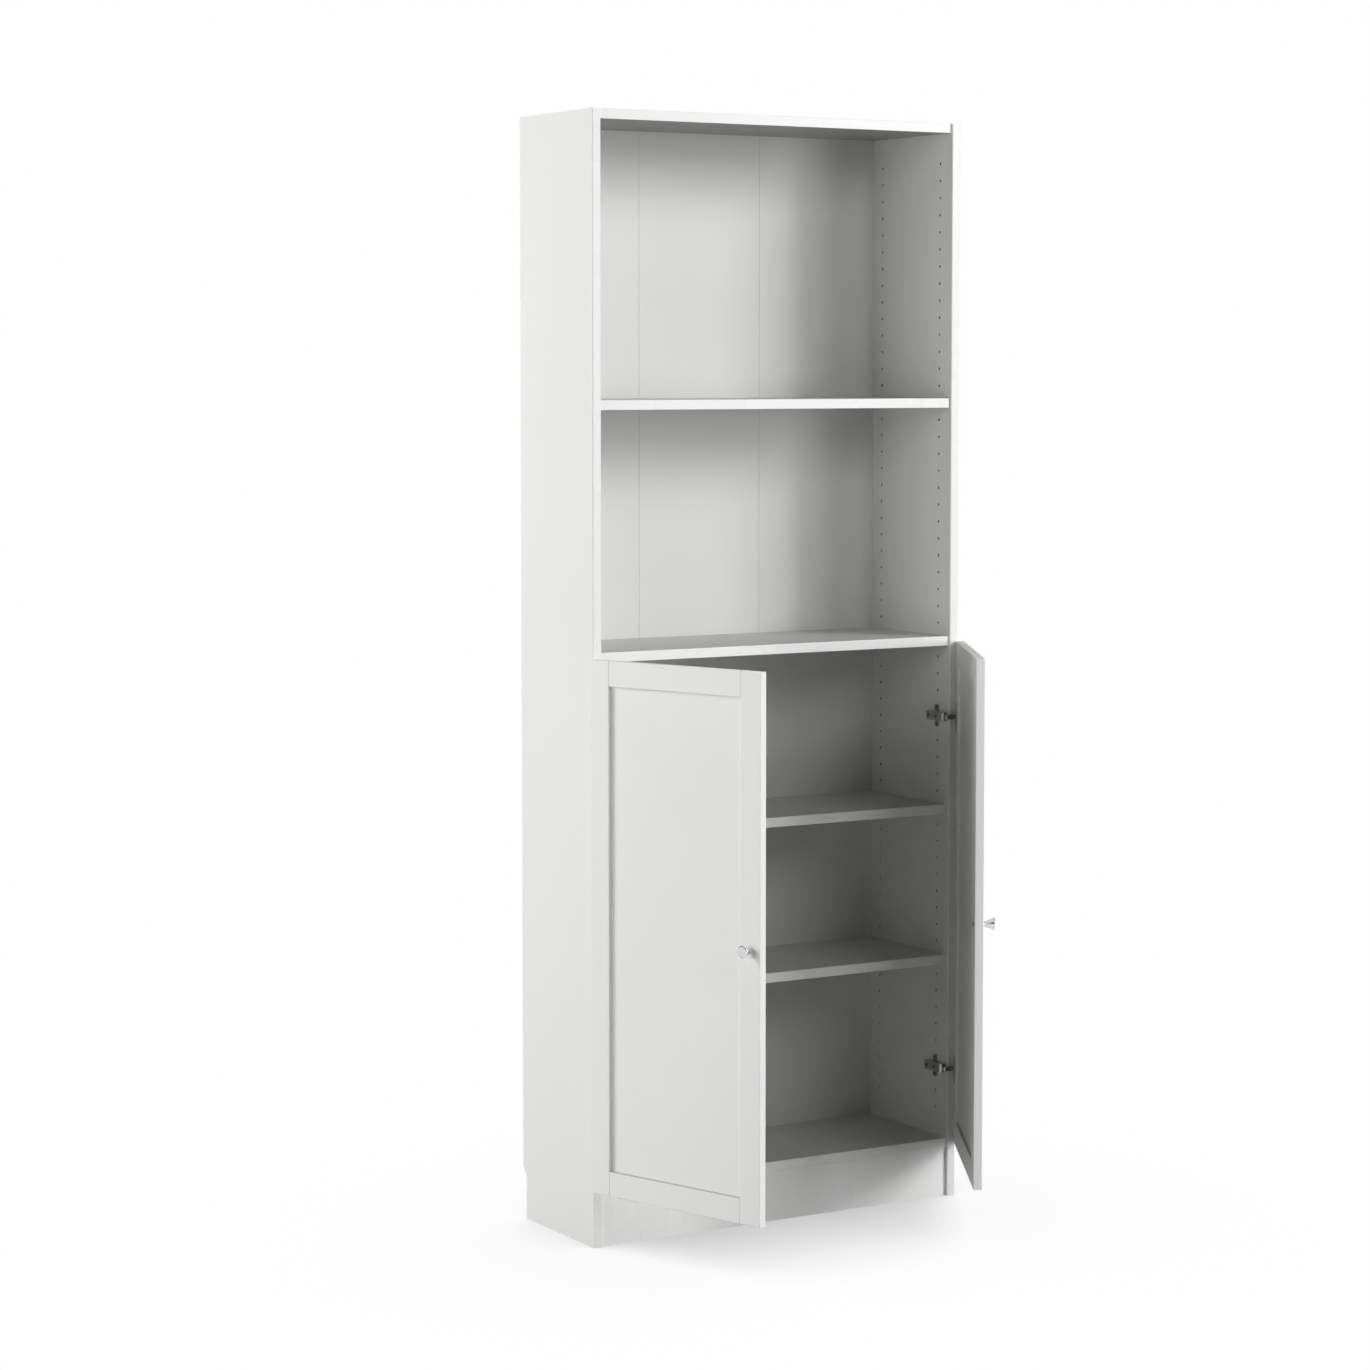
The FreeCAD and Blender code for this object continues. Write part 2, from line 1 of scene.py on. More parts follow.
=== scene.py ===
import bmesh
import bpy
import math
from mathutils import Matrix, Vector


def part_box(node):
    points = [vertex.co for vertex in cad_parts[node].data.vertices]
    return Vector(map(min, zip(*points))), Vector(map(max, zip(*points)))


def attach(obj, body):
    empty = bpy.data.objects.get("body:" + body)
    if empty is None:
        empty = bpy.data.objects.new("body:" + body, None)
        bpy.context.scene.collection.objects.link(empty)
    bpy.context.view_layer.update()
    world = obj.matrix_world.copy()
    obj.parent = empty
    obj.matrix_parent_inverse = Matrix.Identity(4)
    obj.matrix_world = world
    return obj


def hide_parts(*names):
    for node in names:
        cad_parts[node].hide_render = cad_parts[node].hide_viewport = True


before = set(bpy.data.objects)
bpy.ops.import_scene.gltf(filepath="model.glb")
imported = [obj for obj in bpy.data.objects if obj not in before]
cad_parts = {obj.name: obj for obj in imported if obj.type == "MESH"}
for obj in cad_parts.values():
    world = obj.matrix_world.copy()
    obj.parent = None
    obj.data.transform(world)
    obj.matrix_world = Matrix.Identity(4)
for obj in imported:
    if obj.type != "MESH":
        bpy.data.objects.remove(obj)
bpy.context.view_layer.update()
print("frame loaded:", len(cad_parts), "nodes")

scene = bpy.context.scene
scene.view_settings.view_transform = "Standard"
mm = 0.001


# camera: a long lens well in front and to the left, looking slightly down
cameraAt = {"place": (-3.380, -5.3345, 1.576), "yaw": 30.83, "pitch": 4.12,
            "lens": 90.74, "sensor": 36.0, "shiftUp": -0.05}


def makeCamera():
    data = bpy.data.cameras.new("camera")
    data.lens = cameraAt["lens"]
    data.sensor_width = cameraAt["sensor"]
    data.shift_y = cameraAt["shiftUp"]
    data.clip_end = 60
    camera = bpy.data.objects.new("camera", data)
    scene.collection.objects.link(camera)
    camera.location = cameraAt["place"]
    camera.rotation_euler = (math.radians(90 - cameraAt["pitch"]), 0, -math.radians(cameraAt["yaw"]))
    scene.camera = camera


makeCamera()
print("camera placed")


# small helpers for node trees, shader and geometry alike
def addNode(tree, kind, **settings):
    node = tree.nodes.new(kind)
    for name, value in settings.items():
        setattr(node, name, value)
    return node


def feed(tree, socket, value):
    if isinstance(value, bpy.types.NodeSocket):
        tree.links.new(value, socket)
    elif value is not None:
        socket.default_value = value


def mathNode(tree, operation, *values, clamp=False):
    node = addNode(tree, "ShaderNodeMath", operation=operation, use_clamp=clamp)
    for number, value in enumerate(values):
        feed(tree, node.inputs[number], value)
    return node.outputs[0]


def vectorMath(tree, operation, *values):
    node = addNode(tree, "ShaderNodeVectorMath", operation=operation)
    for number, value in enumerate(values):
        feed(tree, node.inputs[number], value)
    return node.outputs["Value" if operation in ("LENGTH", "DISTANCE", "DOT_PRODUCT") else "Vector"]


def separate(tree, vector):
    node = addNode(tree, "ShaderNodeSeparateXYZ")
    feed(tree, node.inputs[0], vector)
    return tuple(node.outputs)


def mapRange(tree, value, low, high, toLow=0.0, toHigh=1.0):
    node = addNode(tree, "ShaderNodeMapRange")
    for number, edge in enumerate((value, low, high, toLow, toHigh)):
        feed(tree, node.inputs[number], edge)
    return node.outputs[0]


def mixColour(tree, share, first, second, blend="MIX"):
    node = addNode(tree, "ShaderNodeMix", data_type="RGBA", blend_type=blend)
    for number, value in ((0, share), (6, first), (7, second)):
        feed(tree, node.inputs[number], value)
    return node.outputs[2]


def noise(tree, place, scale, detail=2.0, roughness=0.5):
    node = addNode(tree, "ShaderNodeTexNoise")
    for label, value in (("Vector", place), ("Scale", scale), ("Detail", detail), ("Roughness", roughness)):
        feed(tree, node.inputs[label], value)
    return node.outputs["Fac"]


def makeGroup(name, inputs, outputs):
    # inputs holds name: (socket type, value), outputs holds name: socket type
    group = bpy.data.node_groups.new(name, "ShaderNodeTree")
    for label, (kind, value) in inputs.items():
        group.interface.new_socket(name=label, in_out="INPUT", socket_type=kind).default_value = value
    for label, kind in outputs.items():
        group.interface.new_socket(name=label, in_out="OUTPUT", socket_type=kind)
    return group, addNode(group, "NodeGroupInput").outputs, addNode(group, "NodeGroupOutput").inputs


def useGroup(tree, group, values):
    node = addNode(tree, "ShaderNodeGroup", node_tree=group)
    for label, value in values.items():
        feed(tree, node.inputs[label], value)
    return node.outputs


def objectPlace(tree):
    return addNode(tree, "ShaderNodeTexCoord").outputs["Object"]


def facingTo(tree, way, limit=0.7):
    # 1 on surfaces that face a way given in the object's own axes
    normal = addNode(tree, "ShaderNodeTexCoord").outputs["Normal"]
    return mathNode(tree, "GREATER_THAN", vectorMath(tree, "DOT_PRODUCT", normal, tuple(way)), limit)


def newMaterial(name):
    material = bpy.data.materials.new(name)
    material.use_nodes = True
    tree = material.node_tree
    tree.nodes.clear()
    shader = addNode(tree, "ShaderNodeBsdfPrincipled")
    tree.links.new(shader.outputs[0], addNode(tree, "ShaderNodeOutputMaterial").inputs[0])
    return material, tree, shader.inputs


def bump(tree, height, strength, distance):
    node = addNode(tree, "ShaderNodeBump")
    for label, value in (("Height", height), ("Strength", strength), ("Distance", distance)):
        feed(tree, node.inputs[label], value)
    return node.outputs[0]


# effects that several finishes share
def coatedSkin():
    # the orange peel of a sprayed or pressed coat, with faint cloudiness
    group, given, result = makeGroup(
        "coatedSkin",
        {"Place": ("NodeSocketVector", (0, 0, 0)), "Peel Size": ("NodeSocketFloat", 0.002),
         "Cloud Size": ("NodeSocketFloat", 0.25)},
        {"Height": "NodeSocketFloat", "Cloud": "NodeSocketFloat"})
    peel = noise(group, given["Place"], mathNode(group, "DIVIDE", 1.0, given["Peel Size"]), 3.0, 0.55)
    cloud = noise(group, given["Place"], mathNode(group, "DIVIDE", 1.0, given["Cloud Size"]), 4.0, 0.6)
    feed(group, result["Height"], peel)
    feed(group, result["Cloud"], mapRange(group, cloud, 0.3, 0.7))
    return group


wear = {"hairlines": 12.0, "drawnOut": (1.0, 1.0, 0.12), "lineEdges": (0.62, 0.72), "patchEdges": (0.5, 0.68)}


def handling():
    # fine hairline scuffs and soft finger marks, as a mask for the gloss
    group, given, result = makeGroup(
        "handling",
        {"Place": ("NodeSocketVector", (0, 0, 0)), "Scuff Size": ("NodeSocketFloat", 0.03),
         "Mark Size": ("NodeSocketFloat", 0.06)},
        {"Scuffs": "NodeSocketFloat", "Marks": "NodeSocketFloat"})
    stretched = vectorMath(group, "MULTIPLY", given["Place"], wear["drawnOut"])
    fine = mathNode(group, "DIVIDE", wear["hairlines"], given["Scuff Size"])
    lines = noise(group, stretched, fine, 5.0, 0.7)
    patches = noise(group, given["Place"], mathNode(group, "DIVIDE", 1.0, given["Mark Size"]), 2.0, 0.5)
    gate = mapRange(group, patches, *wear["patchEdges"])
    scuffs = mapRange(group, lines, *wear["lineEdges"])
    feed(group, result["Scuffs"], mathNode(group, "MULTIPLY", scuffs, gate))
    feed(group, result["Marks"], gate)
    return group


def boardFaces():
    # the core is what lies inside a board's outline box by more than the foil, the arris is near its edges
    group, given, result = makeGroup(
        "boardFaces",
        {"Place": ("NodeSocketVector", (0, 0, 0)), "Low": ("NodeSocketVector", (0, 0, 0)),
         "High": ("NodeSocketVector", (1, 1, 1)), "Foil": ("NodeSocketFloat", 0.0007),
         "Arris": ("NodeSocketFloat", 0.003)},
        {"Core": "NodeSocketFloat", "Arris": "NodeSocketFloat"})
    below = vectorMath(group, "SUBTRACT", given["Place"], given["Low"])
    above = vectorMath(group, "SUBTRACT", given["High"], given["Place"])
    x, y, z = separate(group, vectorMath(group, "MINIMUM", below, above))
    nearest = mathNode(group, "MINIMUM", mathNode(group, "MINIMUM", x, y), z)
    highest = mathNode(group, "MAXIMUM", mathNode(group, "MAXIMUM", x, y), z)
    total = mathNode(group, "ADD", mathNode(group, "ADD", x, y), z)
    middle = mathNode(group, "SUBTRACT", mathNode(group, "SUBTRACT", total, nearest), highest)
    feed(group, result["Core"], mathNode(group, "GREATER_THAN", nearest, given["Foil"]))
    feed(group, result["Arris"], mapRange(group, middle, given["Arris"], 0.0))
    return group


def metalGrain():
    # rolled or turned metal: short streaks along one axis and a fine tooth
    group, given, result = makeGroup(
        "metalGrain",
        {"Place": ("NodeSocketVector", (0, 0, 0)), "Grain Size": ("NodeSocketFloat", 0.0004),
         "Stretch": ("NodeSocketVector", (1, 1, 0.1))},
        {"Streaks": "NodeSocketFloat", "Tooth": "NodeSocketFloat"})
    stretched = vectorMath(group, "MULTIPLY", given["Place"], given["Stretch"])
    size = mathNode(group, "DIVIDE", 1.0, given["Grain Size"])
    feed(group, result["Streaks"], noise(group, stretched, size, 3.0, 0.6))
    finer = mathNode(group, "MULTIPLY", size, 0.7)
    feed(group, result["Tooth"], noise(group, given["Place"], finer, 4.0, 0.6))
    return group


coatedSkinGroup = coatedSkin()
handlingGroup = handling()
boardFacesGroup = boardFaces()
metalGrainGroup = metalGrain()
print("shared effects built:", len(bpy.data.node_groups))

# white foil on chipboard, for the carcass
# in this table the edge colour is a painted highlight, the inner boards' band is painted light, and the
# underside and shelf colours are painted shade
foil = {"colour": (0.762, 0.764, 0.742, 1), "shade": (0.742, 0.744, 0.72, 1), "gloss": 0.36, "scuffed": 0.385,
        "marked": 0.006, "clouded": 0.03, "arrisHighlight": (0.80, 0.802, 0.785, 1), "arrisHighlightShare": 0.6,
        "peel": 0.0022, "peelShare": 0.2, "cloud": 0.35, "relief": 0.25, "reliefDepth": 0.0003,
        "band": (0.87, 0.87, 0.863, 1), "innerBandPaintedLight": (0.96, 0.96, 0.952, 1), "bandDepth": 0.0021,
        "bandGloss": 0.26, "seam": (0.70, 0.695, 0.67, 1), "seamWidth": 0.0001,
        "under": (0.34, 0.34, 0.33, 1), "shelf": (0.63, 0.63, 0.615, 1), "shelfPaintedShade": (0.61, 0.61, 0.595, 1),
        "shine": 0.45, "dullShine": 0.06, "core": (0.44, 0.38, 0.29, 1), "coreDark": (0.24, 0.20, 0.15, 1),
        "coreRough": 0.9, "flake": 0.0022, "grit": 900.0}

# the boards behind and under the doors
innerBoards = ("plinth_board", "bottom_shelf", "cabinet_shelf_upper", "cabinet_shelf_lower")


def foilCoat(tree, node, skin, arris):
    # the coat on a board's wide faces, with its shine
    coat = mixColour(tree, skin["Cloud"], foil["colour"], foil["shade"])
    # painted highlight: the coat turns lighter along the board's edges, where light would catch them
    coat = mixColour(tree, mathNode(tree, "MULTIPLY", arris, foil["arrisHighlightShare"]), coat, foil["arrisHighlight"])
    shine = foil["shine"]
    if node == "top_panel":
        # its underside is painted darker grey, painted shade for the little light that reaches it from below,
        # and shines less
        below = facingTo(tree, (0, 0, -1))
        coat = mixColour(tree, below, coat, foil["under"])
        shine = mapRange(tree, below, 0.0, 1.0, shine, foil["dullShine"])
    if "shelf" in node:
        # the wide faces of a shelf are painted greyer than its front, painted shade for their dimly lit tops,
        # and shine less
        coat = mixColour(tree, skin["Cloud"], foil["shelf"], foil["shelfPaintedShade"])
        shine = foil["dullShine"]
    return coat, shine


def chipCore(tree, place):
    # bare chipboard, where a bore or a notch cuts through the foil
    flakes = addNode(tree, "ShaderNodeTexVoronoi", feature="F1")
    feed(tree, flakes.inputs["Vector"], place)
    feed(tree, flakes.inputs["Scale"], 1 / foil["flake"])
    depth = flakes.outputs["Distance"]
    chip = mixColour(tree, depth, foil["core"], foil["coreDark"])
    return mixColour(tree, noise(tree, place, foil["grit"], 4.0, 0.7), chip, foil["core"]), depth


def foilMaterial(node):
    material, tree, shader = newMaterial("foil_" + node)
    place = objectPlace(tree)
    low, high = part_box(node)
    faces = useGroup(tree, boardFacesGroup, {"Place": place, "Low": low, "High": high})
    skin = useGroup(tree, coatedSkinGroup,
                    {"Place": place, "Peel Size": foil["peel"], "Cloud Size": foil["cloud"]})
    touch = useGroup(tree, handlingGroup, {"Place": place})
    coat, shine = foilCoat(tree, node, skin, faces["Arris"])
    # the edge band on the front: a whiter, glossier strip that ends in a fine seam
    behind = mathNode(tree, "SUBTRACT", separate(tree, place)[1], low.y)
    band = mathNode(tree, "LESS_THAN", behind, foil["bandDepth"])
    seam = mathNode(tree, "COMPARE", behind, foil["bandDepth"], foil["seamWidth"] / 2)
    # the boards behind and under the doors get a whiter band, painted light that makes up for the doors'
    # shade
    front = foil["innerBandPaintedLight"] if node in innerBoards else foil["band"]
    coat = mixColour(tree, seam, mixColour(tree, band, coat, front), foil["seam"])
    chip, depth = chipCore(tree, place)
    feed(tree, shader["Base Color"], mixColour(tree, faces["Core"], coat, chip))
    rough = mapRange(tree, band, 0.0, 1.0, foil["gloss"], foil["bandGloss"])
    for share, weight in ((touch["Marks"], foil["marked"]),
                          (touch["Scuffs"], foil["scuffed"] - foil["gloss"]),
                          (skin["Cloud"], foil["clouded"])):
        rough = mathNode(tree, "ADD", rough, mathNode(tree, "MULTIPLY", share, weight))
    rough = mathNode(tree, "MAXIMUM", rough, mathNode(tree, "MULTIPLY", faces["Core"], foil["coreRough"]))
    feed(tree, shader["Roughness"], rough)
    height = mathNode(tree, "ADD", mathNode(tree, "MULTIPLY", skin["Height"], foil["peelShare"]),
                      mathNode(tree, "MULTIPLY", faces["Core"], depth))
    feed(tree, shader["Normal"], bump(tree, height, foil["relief"], foil["reliefDepth"]))
    feed(tree, shader["Specular IOR Level"], mapRange(tree, band, 0.0, 1.0, shine, foil["shine"]))
    return material


# satin white paint, for the doors; the whiter free edge is painted light, the darker inner face and bottom
# ledge are painted shade
paint = {"colour": (0.875, 0.875, 0.86, 1), "shade": (0.855, 0.855, 0.838, 1), "gloss": 0.42, "marked": 0.04,
         "markSize": 0.045, "clouded": 0.04, "peel": 0.0016, "cloud": 0.22, "relief": 0.22,
         "reliefDepth": 0.0003, "shine": 0.45, "joint": (0.36, 0.36, 0.35, 1), "hingeJoint": 0.0008,
         "lockJoint": 0.0002, "edge": (0.94, 0.94, 0.93, 1), "edgeDepth": 0.0015,
         "rear": (0.70, 0.70, 0.685, 1), "paintedLedgeShade": (0.50, 0.50, 0.49, 1), "paintedLedgeShadeFacing": 0.3}


def spread(points, way):
    along = [point.dot(way) for point in points]
    return min(along), max(along)


def doorAcross(hand):
    # the way from a door's hinge stile to its lock stile
    hinge, lock = (sum(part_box(f"{hand}_{board}"), Vector()) / 2 for board in ("hinge_stile", "lock_stile"))
    return (lock - hinge).normalized()


def doorRear(hand):
    # the way that a door's inner face looks
    rear = doorAcross(hand).cross(Vector((0, 0, 1)))
    return -rear if hand == "left" else rear


def doorLines(tree, place, hand):
    # the joints between stiles and rails, the bottom rail's ledge that is painted darker as painted shade,
    # and the free edge that is painted whiter as painted light
    across = doorAcross(hand)
    hinge, lock = (spread([vertex.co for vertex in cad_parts[hand + board].data.vertices], across)
                   for board in ("_hinge_stile", "_lock_stile"))
    along = vectorMath(tree, "DOT_PRODUCT", place, tuple(across))
    joints = [mathNode(tree, "COMPARE", along, edge, paint[width] / 2)
              for edge, width in ((hinge[1], "hingeJoint"), (lock[0], "lockJoint"))]
    level = separate(tree, place)[2]
    rails = mathNode(tree, "MAXIMUM",
                     mathNode(tree, "GREATER_THAN", level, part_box(hand + "_top_rail")[0].z),
                     mathNode(tree, "LESS_THAN", level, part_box(hand + "_bottom_rail")[1].z))
    joint = mathNode(tree, "MULTIPLY", mathNode(tree, "MAXIMUM", *joints), rails)
    low = mathNode(tree, "LESS_THAN", level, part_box(hand + "_bottom_rail")[1].z + paint["edgeDepth"])
    paintedLedgeShade = mathNode(tree, "MULTIPLY", low, facingTo(tree, (0, 0, 1), paint["paintedLedgeShadeFacing"]))
    return joint, paintedLedgeShade, mathNode(tree, "GREATER_THAN", along, lock[1] - paint["edgeDepth"])


def paintMaterial(hand):
    material, tree, shader = newMaterial("doorPaint_" + hand)
    place = objectPlace(tree)
    skin = useGroup(tree, coatedSkinGroup,
                    {"Place": place, "Peel Size": paint["peel"], "Cloud Size": paint["cloud"]})
    touch = useGroup(tree, handlingGroup, {"Place": place, "Mark Size": paint["markSize"]})
    joint, paintedLedgeShade, edge = doorLines(tree, place, hand)
    coat = mixColour(tree, skin["Cloud"], paint["colour"], paint["shade"])
    # the free edge painted whiter is painted light; the inner face and the ledge painted darker are painted
    # shade
    for share, colour in ((edge, "edge"), (facingTo(tree, doorRear(hand)), "rear"), (paintedLedgeShade, "paintedLedgeShade"),
                          (joint, "joint")):
        coat = mixColour(tree, share, coat, paint[colour])
    feed(tree, shader["Base Color"], coat)
    rough = mathNode(tree, "ADD", paint["gloss"], mathNode(tree, "MULTIPLY", touch["Marks"], paint["marked"]))
    rough = mathNode(tree, "ADD", rough, mathNode(tree, "MULTIPLY", skin["Cloud"], paint["clouded"]))
    feed(tree, shader["Roughness"], rough)
    feed(tree, shader["Normal"], bump(tree, skin["Height"], paint["relief"], paint["reliefDepth"]))
    shader["Specular IOR Level"].default_value = paint["shine"]
    return material


# lacquered fibreboard: white in front, bare brown fibre behind
fibreboard = {"colour": (0.742, 0.742, 0.734, 1), "shade": (0.722, 0.722, 0.712, 1), "gloss": 0.5,
              "clouded": 0.04, "peel": 0.0012, "peelShare": 0.15, "cloud": 0.3, "lacquer": 0.0016,
              "fibre": (0.36, 0.235, 0.125, 1), "fibreDark": (0.22, 0.135, 0.068, 1), "strands": 420.0,
              "drawnOut": (1.0, 1.0, 0.35), "mottle": 9.0, "mottled": 0.35, "bareRough": 0.35, "relief": 0.3,
              "reliefDepth": 0.0003}


def backMaterial(node):
    material, tree, shader = newMaterial("fibreboard_" + node)
    place = objectPlace(tree)
    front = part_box(node)[0].y
    bare = mathNode(tree, "GREATER_THAN", separate(tree, place)[1], front + fibreboard["lacquer"])
    skin = useGroup(tree, coatedSkinGroup,
                    {"Place": place, "Peel Size": fibreboard["peel"], "Cloud Size": fibreboard["cloud"]})
    coat = mixColour(tree, skin["Cloud"], fibreboard["colour"], fibreboard["shade"])
    drawn = vectorMath(tree, "MULTIPLY", place, fibreboard["drawnOut"])
    strands = noise(tree, drawn, fibreboard["strands"], 8.0, 0.75)
    felt = mixColour(tree, mapRange(tree, strands, 0.3, 0.7), fibreboard["fibreDark"], fibreboard["fibre"])
    mottle = noise(tree, place, fibreboard["mottle"], 5.0, 0.6)
    mottle = mapRange(tree, mottle, 0.2, 0.8, 0.0, fibreboard["mottled"])
    felt = mixColour(tree, mottle, felt, fibreboard["fibreDark"])
    feed(tree, shader["Base Color"], mixColour(tree, bare, coat, felt))
    rough = fibreboard["gloss"]
    for share, weight in ((bare, fibreboard["bareRough"]), (skin["Cloud"], fibreboard["clouded"])):
        rough = mathNode(tree, "ADD", rough, mathNode(tree, "MULTIPLY", share, weight))
    feed(tree, shader["Roughness"], rough)
    height = mathNode(tree, "ADD", mathNode(tree, "MULTIPLY", skin["Height"], fibreboard["peelShare"]),
                      mathNode(tree, "MULTIPLY", bare, strands))
    feed(tree, shader["Normal"], bump(tree, height, fibreboard["relief"], fibreboard["reliefDepth"]))
    return material


# metals of the fittings
metals = {"nickel": {"colour": (0.44, 0.43, 0.415, 1), "shade": (0.35, 0.34, 0.325, 1), "rough": 0.42,
                     "grain": 0.0006, "stretch": (1, 0.12, 1)},
          # the screws' steel is dark as painted shade for the shadow in and around their recesses
          "shadedScrewSteel": {"colour": (0.20, 0.20, 0.195, 1), "shade": (0.13, 0.13, 0.127, 1), "rough": 0.33,
                         "grain": 0.0005, "stretch": (1, 1, 1)},
          "zinc": {"colour": (0.55, 0.55, 0.56, 1), "shade": (0.42, 0.42, 0.43, 1), "rough": 0.5,
                   "grain": 0.0009, "stretch": (1, 1, 1)},
          "chrome": {"colour": (0.80, 0.80, 0.80, 1), "shade": (0.74, 0.74, 0.74, 1), "rough": 0.07,
                     "grain": 0.0008, "stretch": (1, 1, 0.2)}}
# the roughness runs from the first share up by the second, the relief is a share too, up to its limit
wornMetal = {"even": 0.7, "uneven": 0.6, "relief": 0.5, "reliefLimit": 0.2, "reliefDepth": 0.0001}


def metalMaterial(name, mark=""):
    finish = metals[name]
    material, tree, shader = newMaterial(name + mark)
    grain = useGroup(tree, metalGrainGroup, {"Place": objectPlace(tree), "Grain Size": finish["grain"],
                                             "Stretch": finish["stretch"]})
    feed(tree, shader["Base Color"], mixColour(tree, grain["Tooth"], finish["colour"], finish["shade"]))
    uneven = mathNode(tree, "MULTIPLY", grain["Streaks"], finish["rough"] * wornMetal["uneven"])
    feed(tree, shader["Roughness"], mathNode(tree, "ADD", uneven, finish["rough"] * wornMetal["even"]))
    relief = min(wornMetal["reliefLimit"], finish["rough"] * wornMetal["relief"])
    feed(tree, shader["Normal"], bump(tree, grain["Streaks"], relief, wornMetal["reliefDepth"]))
    shader["Metallic"].default_value = 1.0
    return material


# the knobs: how a turned cone differs from its plain metal, the darker chrome of its flat tip as painted
# shade on its reflection, and where its sides would meet
turned = {"rough": 0.27, "drawn": 0.95, "flatFacing": 0.8, "apex": 0.019, "tip": (0.66, 0.66, 0.66, 1)}


def knobMaterial(hand):
    # a turned cone draws its reflections out along itself, and its flat tip mirrors plainly through darker
    # chrome, a painted shade that dims its reflection
    material = metalMaterial("chrome", "_" + hand)
    tree = material.node_tree
    shader = next(piece for piece in tree.nodes if piece.type == "BSDF_PRINCIPLED").inputs
    axis = -doorRear(hand)
    cone = mathNode(tree, "SUBTRACT", 1.0, facingTo(tree, axis, turned["flatFacing"]))
    skin = shader["Base Color"].links[0].from_socket
    feed(tree, shader["Base Color"], mixColour(tree, cone, turned["tip"], skin))
    feed(tree, shader["Anisotropic"], mathNode(tree, "MULTIPLY", cone, turned["drawn"]))
    plain = shader["Roughness"].links[0].from_socket
    grooved = mathNode(tree, "MULTIPLY", cone, turned["rough"])
    feed(tree, shader["Roughness"], mathNode(tree, "MAXIMUM", plain, grooved))
    apex = sum(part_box(hand + "_knob"), Vector()) / 2 - axis * turned["apex"]
    along = addNode(tree, "ShaderNodeVectorTransform", vector_type="VECTOR",
                    convert_from="OBJECT", convert_to="WORLD")
    feed(tree, along.inputs[0], vectorMath(tree, "SUBTRACT", objectPlace(tree), tuple(apex)))
    feed(tree, shader["Tangent"], along.outputs[0])
    return material


# beech, for the dowels
beech = {"colour": (0.62, 0.43, 0.26, 1), "fleck": (0.42, 0.26, 0.14, 1), "flecks": 900.0,
         "drawnOut": (0.08, 1.0, 1.0), "rough": 0.6, "uneven": 0.2, "relief": 0.3, "reliefDepth": 0.0002}


def beechMaterial():
    material, tree, shader = newMaterial("beech")
    along = vectorMath(tree, "MULTIPLY", objectPlace(tree), beech["drawnOut"])
    flecks = noise(tree, along, beech["flecks"], 6.0, 0.7)
    feed(tree, shader["Base Color"],
         mixColour(tree, mapRange(tree, flecks, 0.45, 0.7), beech["colour"], beech["fleck"]))
    uneven = mathNode(tree, "MULTIPLY", flecks, beech["uneven"])
    feed(tree, shader["Roughness"], mathNode(tree, "ADD", beech["rough"], uneven))
    feed(tree, shader["Normal"], bump(tree, flecks, beech["relief"], beech["reliefDepth"]))
    return material


def dress(node, material):
    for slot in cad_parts[node].material_slots:
        slot.material = material


foilBoards = ("left_side", "right_side", "top_panel", "middle_shelf", "bottom_shelf", "plinth_board",
              "open_bay_shelf", "cabinet_shelf_upper", "cabinet_shelf_lower")
backBoards = ("back_strip_left", "back_strip_middle", "back_strip_right")
doorBoards = ("hinge_stile", "lock_stile", "top_rail", "bottom_rail", "door_panel")
hinges = ("hinge_plate_upper", "hinge_plate_lower", "hinge_arm_upper", "hinge_arm_lower",
          "hinge_cup_upper", "hinge_cup_lower")

for node in foilBoards:
    dress(node, foilMaterial(node))
for node in backBoards:
    dress(node, backMaterial(node))
nickel, shadedScrewSteel, zinc = [metalMaterial(name) for name in ("nickel", "shadedScrewSteel", "zinc")]
for hand in ("left", "right"):
    doorPaint = paintMaterial(hand)
    for board in doorBoards:
        dress(f"{hand}_{board}", doorPaint)
    for fitting in hinges:
        dress(f"{hand}_{fitting}", nickel)
    dress(hand + "_knob", knobMaterial(hand))
    dress(hand + "_hinge_pins", shadedScrewSteel)
dress("cam_locks", zinc)
dress("cam_bolts", shadedScrewSteel)
dress("shelf_pins", shadedScrewSteel)
dress("dowels", beechMaterial())
print("finishes on the construction:", len(bpy.data.materials))


# Geometry Nodes: cross-head screws on seats, and panel pins along the back
def geometryGroup(name, sizes):
    group = bpy.data.node_groups.new(name, "GeometryNodeTree")
    group.interface.new_socket(name="Geometry", in_out="INPUT", socket_type="NodeSocketGeometry")
    for label, (kind, value) in sizes.items():
        socket = group.interface.new_socket(name=label, in_out="INPUT", socket_type=kind)
        if value is not None:
            socket.default_value = value
    group.interface.new_socket(name="Geometry", in_out="OUTPUT", socket_type="NodeSocketGeometry")
    return group, addNode(group, "NodeGroupInput").outputs, addNode(group, "NodeGroupOutput").inputs


def setPosition(tree, shape, place):
    node = addNode(tree, "GeometryNodeSetPosition")
    feed(tree, node.inputs["Geometry"], shape)
    feed(tree, node.inputs["Position"], place)
    return node.outputs[0]


def moved(tree, shape, offset=None, turn=None):
    node = addNode(tree, "GeometryNodeTransform")
    feed(tree, node.inputs["Geometry"], shape)
    feed(tree, node.inputs["Translation"], offset)
    feed(tree, node.inputs["Rotation"], turn)
    return node.outputs[0]


def combine(tree, x, y, z):
    node = addNode(tree, "ShaderNodeCombineXYZ")
    for number, value in enumerate((x, y, z)):
        feed(tree, node.inputs[number], value)
    return node.outputs[0]


